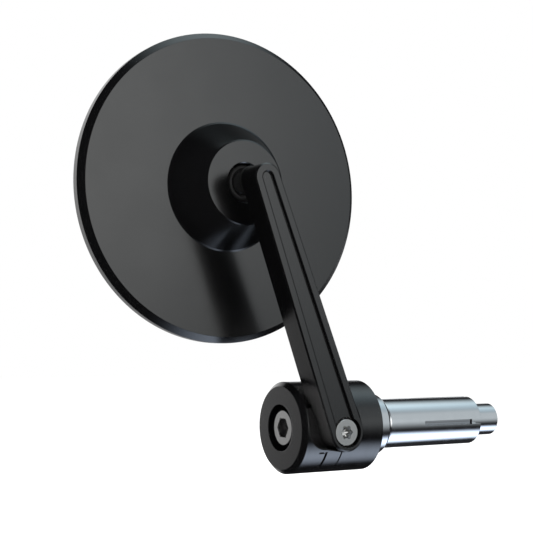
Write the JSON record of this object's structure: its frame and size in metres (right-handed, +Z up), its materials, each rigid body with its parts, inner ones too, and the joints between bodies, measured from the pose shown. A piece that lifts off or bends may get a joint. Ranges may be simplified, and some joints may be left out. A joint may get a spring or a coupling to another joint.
{
  "type": "bar end mirror",
  "caption": "Round rear view mirror on a ball joint at the end of a slim arm, which tilts on a screw in a bar end weight with an expanding insert.",
  "frame": {"origin": "on the bar's axis, just ahead of the shoulder, where the plain sleeve that goes into the bar begins", "axes": "+X along the bar, inwards, the way the insert goes in; -Y out of the back of the mirror, where the arm stands; +Y out of the glass; +Z up"},
  "size_m": [0.1336, 0.0292, 0.1268],
  "materials": {
    "machined_aluminium": "bright turned aluminium",
    "plain_steel": "plain bright steel",
    "dark_steel": "blackened steel",
    "black_weight": "turned steel with a satin black finish",
    "black_aluminium": "fine blasted aluminium, satin black anodised",
    "bush_brass": "turned brass",
    "friction_plastic": "natural low friction plastic",
    "seat_plastic": "black low friction plastic",
    "pad_foam": "black adhesive foam",
    "mirror_glass": "convex mirror, faint blue tint"
  },
  "bodies": {
    "insert": {"insert_sleeve": "machined_aluminium"},
    "bolt": {"clamp_bolt": "plain_steel"},
    "wedge": {"expander_wedge": "machined_aluminium"},
    "weight": {"bar_end_weight": "black_weight", "clamp_washer": "plain_steel", "pivot_screw": "plain_steel", "pivot_bush": "bush_brass", "cup_washer": "plain_steel", "thrust_washer": "friction_plastic", "friction_washer": "friction_plastic"},
    "arm": {"mirror_arm": "black_aluminium", "ball_stud": "dark_steel"},
    "seat": {"ball_seat_ring": "seat_plastic"},
    "pad": {"ball_pad": "friction_plastic"},
    "head": {"mirror_housing": "black_aluminium", "socket_cover": "machined_aluminium", "cover_screws": "plain_steel", "preload_washer": "plain_steel", "glass_pad": "pad_foam", "mirror_glass": "mirror_glass"}
  },
  "joints": [
    {"name": "weight_turn", "type": "hinge", "parent": "insert", "child": "weight", "pos_m": [-0.0092, 0, 0], "axis": [1, 0, 0], "continuous": true},
    {"name": "bolt_turn", "type": "hinge", "parent": "insert", "child": "bolt", "pos_m": [0, 0, 0], "axis": [1, 0, 0], "range_deg": [-720, 0]},
    {"name": "wedge_slide", "type": "slide", "parent": "insert", "child": "wedge", "axis": [1, 0, 0], "range_m": [0, 0.002]},
    {"name": "arm_tilt", "type": "hinge", "parent": "weight", "child": "arm", "pos_m": [-0.0196, -0.0105, -0.0009], "axis": [0, -1, 0], "range_deg": [-10, 5.5]},
    {"name": "head_pitch", "type": "hinge", "parent": "arm", "child": "seat", "pos_m": [-0.04526, 0.0033, 0.06883], "axis": [1, 0, 0], "range_deg": [-14, 14]},
    {"name": "head_yaw", "type": "hinge", "parent": "seat", "child": "pad", "pos_m": [-0.04526, 0.0033, 0.06883], "axis": [0, 0, 1], "range_deg": [-14, 14]},
    {"name": "head_spin", "type": "hinge", "parent": "pad", "child": "head", "pos_m": [-0.04526, 0.0033, 0.06883], "axis": [0, 1, 0], "continuous": true}
  ],
  "couplings": [
    {"joint": "bolt_turn", "follows": "wedge_slide", "rad_per_m": -6283.2}
  ]
}
